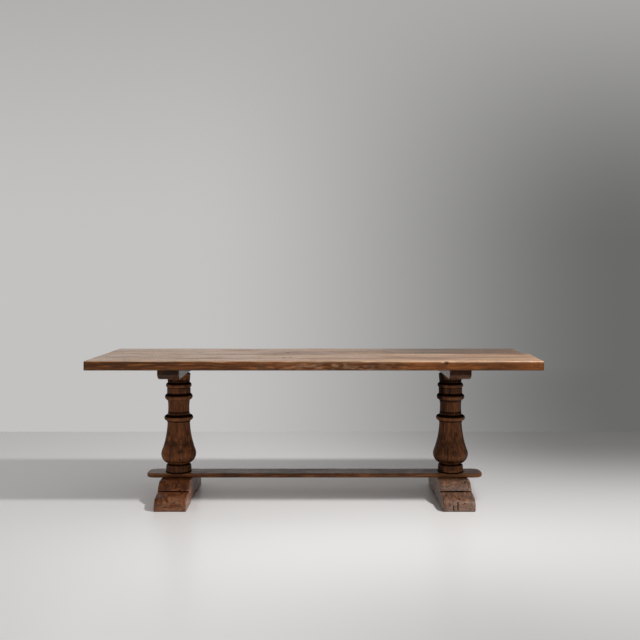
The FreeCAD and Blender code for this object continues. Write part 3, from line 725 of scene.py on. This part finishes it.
# The fine groove above it: how far behind and above, then width and depth in millimetres
GROOVE_BEHIND = 0.009
GROOVE_ABOVE = 0.011
GROOVE_WIDTH = 1.8
GROOVE_DEPTH = 1.2
# Marks on the front, in millimetres: both ends in X, from the leg, and Z, then width and depth
FOOT_MARKS = {
    "left": (((26, 81), (40, 83), 4.0, 1.4), ((-12, 49), (-17, 55), 8, 0.6), ((-30, 22), (5, 20), 1.6, 2),
             ((-2, 30), (50, 31), 1.4, 1.6), ((5, 90), (12, 108), 1.5, 2)),
    "right": (((-7, 8), (-6, 47), 2.4, 7), ((-30, 6), (-29, 30), 1.8, 5), ((-13, 64), (7, 58), 1.6, 4),
              ((18, 36), (32, 42), 1.5, 3), ((54, 114), (55, 116), 3.2, 4), ((-50, 26), (-47, 44), 1.4, 3))}
MARK_WANDER = 0.6
MARK_CELL = 0.006
# Cells of the scuffs, of the worn inner side and of fine mottle
SCUFF_CELL = (0.05, 0.09, 0.03)
INNER_WEAR_CELL = (0.03, 0.06, 0.02)
FOOT_MOTTLE = (0.02, 0.05, 0.012)
# Strengths that differ between the feet: scuffs, wear on the inner side with a painted reflection, least
# wear, darkening above the quirk, and painted shadow at the back of the inner side
SCUFFS = {"left": 0.47, "right": 0.85}
INNER_WEAR_AND_REFLECTION = {"left": 0.8, "right": 1.0}
LEAST_WEAR = {"left": 0.05, "right": 0.25}
UPPER_DARKENING = {"left": 0.38, "right": 0.0}
BACK_SHADE = {"left": 0.42, "right": 0.0}


class Foot:
    """A sled foot: lumpy, chipped and scuffed, with a quirk above each toe and cuts at the front."""

    def __init__(self, side):
        self.side = side
        self.sign = SIDES[side]
        self.seed = FOOT_SEEDS[side]
        self.solid, self.normals, self.faces, self.proud = worn_solid("foot_" + side, FOOT_VOXEL)
        x, self.y, self.z = self.solid.T
        self.place = self.solid + [self.sign * NOISE_SHIFT, 0, 0]
        self.from_leg = x - middle_x("foot_" + side)
        self.facing = ramp(-self.normals[:, 1], 0.1, 0.4)
        self.add_quirk()
        self.marks = list(self.front_marks())
        self.points = self.worn_points()
        self.grime_and_shade = self.dirt_and_shade()
        self.wear = self.worn() * (1 - self.grime_and_shade)

    def add_quirk(self):
        """The quirk and the fine groove above it, as bells that are 1 at their deepest."""
        wander = MM * noise(self.place * [1, 0, 0], QUIRK_CELL, self.seed + 7)
        along = np.abs(self.y) - QUIRK_Y
        above = self.z - QUIRK_Z - wander
        self.quirk = bump_at(np.hypot(along, above), 0, QUIRK_WIDTH * MM)
        from_groove = np.hypot(along + GROOVE_BEHIND, above - GROOVE_ABOVE)
        self.groove = bump_at(from_groove, 0, GROOVE_WIDTH * MM)

    def front_marks(self):
        """Each mark as a bell across its line, with its depth."""
        across = self.from_leg + MARK_WANDER * MM * noise(self.place, MARK_CELL, self.seed + 5)
        flat = np.stack([across, self.z], axis=1)
        for start, finish, width, depth in FOOT_MARKS[self.side]:
            distance = segment_distance(flat, np.multiply(start, MM), np.multiply(finish, MM))
            yield bump_at(distance, 0, width * MM) * self.facing, depth

    def worn_points(self):
        """The worn shape. The sole and the part under the stretcher stay about as they are."""
        chipped = ramp(noise(self.place, FOOT_CHIPS, self.seed), 0.2, 0.8)
        moved = layered(self.place, FOOT_LUMPS, self.seed + 1) + FOOT_LUMP_MEAN
        moved += FOOT_SPREAD[self.side] * ramp(self.sign * self.normals[:, 0], 0.6, 0.9)
        moved -= FOOT_CHIP_DEPTH * chipped * ramp(self.proud, 0.03, 0.12)
        moved -= QUIRK_DEPTH * self.quirk + GROOVE_DEPTH * self.groove
        for cut, depth in self.marks:
            moved -= depth * cut
        board_low, board_high = corners_of("stretcher")
        under_board = np.abs(self.y) < board_high[1] + BOARD_EDGE
        under_board &= self.z > board_low[2] - BOARD_UNDERSIDE
        free = np.where(under_board, BOARD_FREEDOM, ramp(self.z, 0.001, 0.004))
        return self.solid + self.normals * (moved * MM * free)[:, None]

    def dirt_and_shade(self):
        """Where the wood is darker: dirt in hollows, quirk and cuts, painted shade along the sole where it
        meets the floor, on the left of the front and on the back of the inner side, and a darker upper
        part.
        """
        dirt_and_shade = [ramp(-self.proud, 0.02, 0.10), ramp(self.quirk, 0.1, 0.7), 0.6 * self.groove]
        # The left foot is darker above the quirk
        dirt_and_shade.append(UPPER_DARKENING[self.side] * ramp(self.z, 0.078, 0.086))
        # Painted shade: a dark line along the sole, where the foot meets the floor
        dirt_and_shade.append(0.7 * (1 - ramp(self.z, 0.001, 0.006)))
        # Painted shade on the left of the front face
        dirt_and_shade.append(0.3 * self.facing * (1 - ramp(self.from_leg, -0.082, -0.045)))
        right_side = ramp(self.normals[:, 0], 0.4, 0.8)
        # Painted shadow of the top on the back of the left foot's inner side
        dirt_and_shade.append(BACK_SHADE[self.side] * ramp(self.y, -0.05, 0.03) * right_side)
        dirt_and_shade.extend(cut * min(1, 0.35 + depth / 4) for cut, depth in self.marks)
        return np.maximum.reduce(dirt_and_shade)

    def worn(self):
        """Where the wood is paler: scuffs low down, proud arrises, and the inner side, worn and with a
        painted reflection of the floor.
        """
        scuffed = 0.55 * noise(self.place, SCUFF_CELL, self.seed + 6) + (0.062 - self.z) / 0.05
        scuffed = SCUFFS[self.side] * ramp(scuffed, -0.25, 0.9)
        mottle = 0.22 * noise(self.place, FOOT_MOTTLE, self.seed + 9)
        arrises = 0.9 * ramp(self.proud, 0.02, 0.12)
        # The inner side: wear and a painted reflection of the pale floor, strongest on the right foot
        inner = ramp(-self.sign * self.normals[:, 0], 0.4, 0.8) * INNER_WEAR_AND_REFLECTION[self.side]
        inner = inner * (0.75 + 0.25 * noise(self.place, INNER_WEAR_CELL, self.seed + 8))
        wear = np.maximum.reduce([scuffed + mottle, arrises, inner])
        return np.maximum(wear, LEAST_WEAR[self.side])


BEARER_VOXEL = 0.0022
BEARER_SEEDS = {"left": 301, "right": 351}
BEARER_LUMPS = ((0.5, (0.05, 0.12, 0.05)), (0.3, (0.012, 0.06, 0.012)))
BEARER_LUMP_MEAN = 0.2


def bearer_shape(side):
    """A cross bearer under the top: lumpy, worn at its arrises, and darker towards the top, a painted shade
    under the table top.
    """
    node = "bearer_" + side
    seed = BEARER_SEEDS[side]
    points, normals, faces, proud = worn_solid(node, BEARER_VOXEL)
    place = points + [SIDES[side] * NOISE_SHIFT, 0, 0]
    lumps = layered(place, BEARER_LUMPS, seed) + BEARER_LUMP_MEAN
    bottom, top = corners_of(node)
    free = 1 - ramp(points[:, 2] - top[2], -0.006, -0.002)
    points = points + normals * (lumps * MM * free)[:, None]
    wear = ramp(proud, 0.02, 0.12) * ramp(noise(place, 0.05, seed + 2), -0.6, 0.6)
    # Painted shade: darker above the lowest band, under the table top
    shaded = 0.46 * ramp(points[:, 2] - bottom[2], 0.012, 0.030)
    grime_and_shade = np.maximum(ramp(-proud, 0.02, 0.1), shaded)
    return SimpleNamespace(points=points, faces=faces, wear=wear, grime_and_shade=grime_and_shade)


# Materials

class Shader:
    """A material with one Principled shader, and short ways to add and join its nodes."""

    def __init__(self, name):
        self.material = bpy.data.materials.new(name)
        self.material.use_nodes = True
        self.tree = self.material.node_tree
        self.surface = self.tree.nodes["Principled BSDF"]

    def put(self, socket, value):
        """Join another node's output to a socket, or give the socket a value."""
        if isinstance(value, bpy.types.NodeSocket):
            self.tree.links.new(value, socket)
        else:
            socket.default_value = value

    def add(self, kind, inputs, output=0, **settings):
        """A new node with its inputs and settings. Gives one of its outputs."""
        node = self.tree.nodes.new("ShaderNode" + kind)
        for key, value in settings.items():
            setattr(node, key, value)
        for key, value in inputs.items():
            self.put(node.inputs[key], value)
        return node.outputs[output]

    def stretched(self, scale, place=(0, 0, 0)):
        """The place on the object, scaled and shifted."""
        where = self.add("TexCoord", {}, "Object")
        return self.add("Mapping", {"Vector": where, "Scale": scale, "Location": place})

    def coordinates(self):
        """X, Y and Z on the object."""
        return self.add("SeparateXYZ", {0: self.add("TexCoord", {}, "Object")}).node.outputs

    def noise(self, vector, scale, detail=3.0, roughness=0.55, distortion=0.0):
        return self.add("TexNoise", {"Vector": vector, "Scale": scale, "Detail": detail,
                                     "Roughness": roughness, "Distortion": distortion}, "Fac")

    def steps(self, value, low, high, start=0.0, finish=1.0):
        """A smooth change from start to finish while the value goes from low to high."""
        return self.add("MapRange", {"Value": value, "From Min": low, "From Max": high,
                                     "To Min": start, "To Max": finish}, interpolation_type="SMOOTHSTEP")

    def math(self, operation, first, second):
        return self.add("Math", {0: first, 1: second}, operation=operation)

    def mix(self, amount, first, second):
        return self.add("Mix", {"Factor": amount, 6: first, 7: second}, 2, data_type="RGBA")

    def mark(self, name):
        """A number that the points of a piece carry."""
        return self.add("Attribute", {}, "Fac", attribute_name=name)

    def finish(self, **inputs):
        """The material, with these inputs of its shader."""
        for key, value in inputs.items():
            self.put(self.surface.inputs[key.replace("_", " ")], value)
        return self.material


def rgb(red, green, blue):
    """A colour from its screen values, 0 to 255."""
    def linear(value):
        value = value / 255
        return value / 12.92 if value <= 0.04045 else ((value + 0.055) / 1.055) ** 2.4
    return (linear(red), linear(green), linear(blue), 1)


# Scales of the noise in oak, and the height of its relief
FIGURE_SCALE = 22
STREAK_SCALE = 120
PORE_SCALE = 520
STAIN_SCALE = 5.5
PORE_STRETCH = 0.6
OAK_RELIEF = 0.0011


def oak(name, grain, light, middle, dark, worn, grime_and_shade, roughness, place, relief=0.5, sheen=0.2,
        along=0.16, blotch=(1, 1, 1)):
    """Waxed oak with its grain along axis 0, 1 or 2: figure, streaks, pores, stains, wear with painted
    light, and dark dirt with painted shade.
    """
    shader = Shader(name)
    scale = [1.0, 1.0, 1.0]
    scale[grain] = along
    long_grain = shader.stretched(scale, place)
    figure = shader.noise(long_grain, FIGURE_SCALE, 5, 0.6, 0.7)
    streaks = shader.noise(long_grain, STREAK_SCALE, 3, 0.6)
    scale[grain] = along * PORE_STRETCH
    pores = shader.noise(shader.stretched(scale, place), PORE_SCALE, 2, 0.5)
    stains = shader.noise(shader.stretched(blotch, place), STAIN_SCALE, 4, 0.6, 0.4)
    pore_depth = shader.steps(pores, 0.34, 0.46, 1, 0)
    colour = shader.mix(shader.steps(figure, 0.34, 0.62), dark, middle)
    colour = shader.mix(shader.steps(streaks, 0.45, 0.72), colour, light)
    colour = shader.mix(shader.steps(stains, 0.42, 0.70, 0, 0.6), colour, dark)
    colour = shader.mix(shader.math("MULTIPLY", pore_depth, 0.5), colour, dark)
    patchy = shader.steps(streaks, 0.25, 0.70, 0.35, 1.0)
    colour = shader.mix(shader.math("MULTIPLY", shader.mark("wear"), patchy), colour, worn)
    colour = shader.mix(shader.steps(shader.mark("grime_and_shade"), 0.08, 0.85, 0, 0.94), colour, grime_and_shade)
    gloss = shader.steps(stains, 0.3, 0.7, *roughness)
    gloss = shader.math("ADD", gloss, shader.math("MULTIPLY", pore_depth, 0.12))
    height = shader.math("ADD", shader.math("MULTIPLY", streaks, 0.5), shader.math("MULTIPLY", figure, 0.5))
    height = shader.math("SUBTRACT", height, shader.math("MULTIPLY", pore_depth, 0.55))
    bump = shader.add("Bump", {"Height": height, "Strength": relief, "Distance": OAK_RELIEF})
    dulled = shader.steps(shader.mark("grime_and_shade"), 0.35, 0.85, sheen, 0)
    return shader.finish(Base_Color=colour, Roughness=gloss, Normal=bump, Specular_IOR_Level=dulled)


TOP_OAK = dict(grain=0, light=rgb(142, 84, 38), middle=rgb(115, 65, 26), dark=rgb(72, 39, 14),
               worn=rgb(206, 168, 134), grime_and_shade=rgb(34, 20, 11), roughness=(0.20, 0.32),
               relief=0.2, sheen=0.28, along=0.09)
STRETCHER_OAK = dict(grain=0, light=rgb(146, 88, 46), middle=rgb(104, 59, 30), dark=rgb(54, 29, 14),
                     worn=rgb(160, 108, 68), grime_and_shade=rgb(16, 9, 5), roughness=(0.22, 0.34), along=0.08)
BEARER_OAK = dict(grain=1, light=rgb(116, 73, 46), middle=rgb(89, 54, 33), dark=rgb(49, 29, 16),
                  worn=rgb(128, 90, 66), grime_and_shade=rgb(18, 11, 6), roughness=(0.12, 0.22))
BEARER_SHEEN = {"left": 0.18, "right": 0.12}
COLUMN_OAK = dict(grain=2, worn=rgb(146, 92, 54), grime_and_shade=rgb(7, 4, 2), roughness=(0.46, 0.60),
                  sheen=0.16, along=0.07, blotch=(4, 4, 1.6))
COLUMN_COLOURS = {
    "left": dict(light=rgb(158, 96, 53), middle=rgb(119, 71, 38), dark=rgb(63, 35, 17)),
    "right": dict(light=rgb(139, 84, 45), middle=rgb(104, 61, 31), dark=rgb(56, 31, 15))}
FOOT_OAK = dict(grain=1, grime_and_shade=rgb(10, 5, 3), roughness=(0.24, 0.40), sheen=0.26, blotch=(3, 1.5, 3))
FOOT_COLOURS = {
    "left": dict(light=rgb(148, 86, 45), middle=rgb(106, 57, 28), dark=rgb(52, 25, 12),
                 worn=rgb(164, 119, 91)),
    "right": dict(light=rgb(148, 97, 62), middle=rgb(106, 66, 41), dark=rgb(50, 30, 19),
                  worn=rgb(140, 115, 100))}
JOINERY_OAK = dict(grain=2, light=rgb(132, 92, 58), middle=rgb(108, 72, 44), dark=rgb(74, 47, 28),
                   worn=rgb(140, 104, 76), grime_and_shade=rgb(30, 20, 12), roughness=(0.5, 0.65))
# Where each piece lies in the noise, so that no two have the same grain
TOP_GRAIN = {"front": (0, 0, 0), "back": (3.1, 5.7, 0.9)}
STRETCHER_GRAIN = (7.3, 1.9, 4.4)
JOINERY_GRAIN = (1.3, 0.4, 2.2)
SIDE_GRAIN = (2.3, 4.1, 0)


def iron():
    """Dull iron with spots of rust."""
    shader = Shader("screw_iron")
    spots = shader.noise(shader.stretched((1, 1, 1)), 260, 4, 0.6)
    colour = shader.mix(shader.steps(spots, 0.4, 0.65), rgb(70, 66, 62), rgb(104, 84, 68))
    bump = shader.add("Bump", {"Height": spots, "Strength": 0.3, "Distance": 0.0004})
    gloss = shader.steps(spots, 0.35, 0.7, 0.38, 0.62)
    return shader.finish(Base_Color=colour, Metallic=0.85, Normal=bump, Roughness=gloss)


def dress_nodes(words, material):
    """Give a material to the CAD nodes with one of the words in their names."""
    for name, node in nodes.items():
        if any(word in name for word in words):
            node.data.materials.clear()
            node.data.materials.append(material)


def make_table():
    """All pieces of the table, and materials for the CAD nodes that aren't replaced."""
    for place, grain in TOP_GRAIN.items():
        wood = oak("top_oak_" + place, place=grain, **TOP_OAK)
        new_piece("top_plank_" + place, Plank(place), wood)
    wood = oak("stretcher_oak", place=STRETCHER_GRAIN, **STRETCHER_OAK)
    new_piece("stretcher", stretcher_shape(), wood)
    for side, sign in SIDES.items():
        place = [sign * value for value in SIDE_GRAIN]
        wood = oak("bearer_oak_" + side, place=place, sheen=BEARER_SHEEN[side], **BEARER_OAK)
        new_piece("bearer_" + side, bearer_shape(side), wood)
        wood = oak("column_oak_" + side, place=place, **COLUMN_COLOURS[side], **COLUMN_OAK)
        new_piece("column_" + side, Column(side), wood)
        wood = oak("foot_oak_" + side, place=place, **FOOT_COLOURS[side], **FOOT_OAK)
        new_piece("foot_" + side, Foot(side), wood)
    dress_nodes(("tenon", "peg", "wedge"), oak("joinery_oak", place=JOINERY_GRAIN, **JOINERY_OAK))
    dress_nodes(("screws", "washers"), iron())


# Studio

# Camera: level and straight in front of the table
CAMERA_PLACE = (0.0018, -4.8736, 1.2038)
CAMERA_LENS = 50.3
CAMERA_SHIFT = (0.0039, -0.0684)


def make_camera():
    """The camera at the photograph's viewing angle."""
    data = bpy.data.cameras.new("camera")
    data.lens = CAMERA_LENS
    data.shift_x, data.shift_y = CAMERA_SHIFT
    camera = bpy.data.objects.new("camera", data)
    camera.location = CAMERA_PLACE
    camera.rotation_euler = (math.radians(90), 0, 0)
    bpy.context.scene.collection.objects.link(camera)
    bpy.context.scene.camera = camera


# Reach of the floor to the front and sides, the Y where the backdrop takes over, and the wall
FLOOR_REACH = 30
FLOOR_END = 2.05
WALL_Y = 7.0
WALL_HEIGHT = 9.0
# Shading across the floor near the camera, in the middle and at the back: X at both sides, then both levels
FLOOR_NEAR = (-0.9, 0.9, 0.91, 0.51)
FLOOR_MIDDLE = (-0.7, 1.7, 0.99, 0.65)
FLOOR_BACK = (-0.9, 1.9, 0.94, 0.27)
# Y between which each of these goes over into the next
NEAR_TO_MIDDLE = (-2.1, -0.5)
MIDDLE_TO_BACK = (-0.3, 1.6)
# Shading across the wall, and how much narrower it is for each metre in front of it
BACKDROP_SHADE = (-1.9, 4.2, 0.545, 0.142)
BACKDROP_NARROWING = 0.14
# Heights between which the wall goes over to a level of its own
WALL_CHANGE = (1.5, 6.0)
WALL_LEVEL = 0.42
# Level of the backdrop where it only lights the table
BACKDROP_LEVEL = 0.45


def grey(level):
    """A slightly warm grey."""
    return (level, level * 0.99, level * 0.98, 1)


def shaded_grey(shader, across, left, right, left_level, right_level):
    """A grey from one level at the left to another at the right."""
    return shader.mix(shader.steps(across, left, right), grey(left_level), grey(right_level))


def floor_material():
    """Pale and slightly glossy, with painted shade: greyer to the right, both at the back and near the
    camera.
    """
    shader = Shader("floor")
    across, depth, _ = shader.coordinates()
    near = shaded_grey(shader, across, *FLOOR_NEAR)
    middle = shaded_grey(shader, across, *FLOOR_MIDDLE)
    back = shaded_grey(shader, across, *FLOOR_BACK)
    tone = shader.mix(shader.steps(depth, *NEAR_TO_MIDDLE), near, middle)
    tone = shader.mix(shader.steps(depth, *MIDDLE_TO_BACK), tone, back)
    return shader.finish(Base_Color=tone, Roughness=0.3, Specular_IOR_Level=0.3)


def backdrop_material():
    """A soft grey that darkens to the right. It is shown to the camera and in reflections only."""
    shader = Shader("backdrop")
    x, y, z = shader.coordinates()
    before_wall = shader.math("MULTIPLY", y, BACKDROP_NARROWING)
    narrowing = shader.math("SUBTRACT", 1 + BACKDROP_NARROWING * WALL_Y, before_wall)
    tone = shaded_grey(shader, shader.math("MULTIPLY", x, narrowing), *BACKDROP_SHADE)
    tone = shader.mix(shader.steps(z, *WALL_CHANGE), tone, grey(WALL_LEVEL))
    rays = shader.add("LightPath", {}).node.outputs
    shown = shader.math("MAXIMUM", rays["Is Camera Ray"], rays["Is Glossy Ray"])
    lit = shader.mix(shown, grey(BACKDROP_LEVEL), grey(0))
    return shader.finish(Base_Color=lit, Roughness=1, Specular_IOR_Level=0,
                         Emission_Color=tone, Emission_Strength=shown)


def make_stage():
    """A pale floor, and a plain backdrop that goes on level behind it and then up."""
    rows = [(-FLOOR_REACH, 0), (FLOOR_END, 0), (WALL_Y, 0), (WALL_Y, WALL_HEIGHT)]
    corners = [(x, y, z) for y, z in rows for x in (-FLOOR_REACH, FLOOR_REACH)]
    parts = (("floor", floor_material(), [(0, 1, 3, 2)]),
             ("backdrop", backdrop_material(), [(2, 3, 5, 4), (4, 5, 7, 6)]))
    for name, material, faces in parts:
        mesh = bpy.data.meshes.new(name)
        mesh.from_pydata(corners, [], faces)
        mesh.materials.append(material)
        stage = bpy.data.objects.new(name, mesh)
        bpy.context.scene.collection.objects.link(stage)
        stage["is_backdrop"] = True


# The lamp's place, target, power in watts and size, and the level of the room's light
LAMP_PLACE = (2.05, -1.42, 3.0)
LAMP_TARGET = (0, -0.2, 0.3)
LAMP_POWER = 106
LAMP_SIZE = 0.26
ROOM_LEVEL = 0.41


def make_light():
    """One soft lamp high at the front right, and even light from the room."""
    world = bpy.data.worlds.new("world")
    bpy.context.scene.world = world
    world.use_nodes = True
    world.node_tree.nodes["Background"].inputs["Color"].default_value = grey(ROOM_LEVEL)
    light = bpy.data.lights.new("key", "AREA")
    light.energy = LAMP_POWER
    light.size = LAMP_SIZE
    key = bpy.data.objects.new("key", light)
    key.location = LAMP_PLACE
    key.rotation_euler = (Vector(LAMP_TARGET) - key.location).to_track_quat("-Z", "Y").to_euler()
    bpy.context.scene.collection.objects.link(key)


bpy.context.scene.view_settings.view_transform = "Standard"
make_camera()
make_stage()
make_light()
make_table()
[[list(corner) for corner in box] for box in (cad_box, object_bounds())]
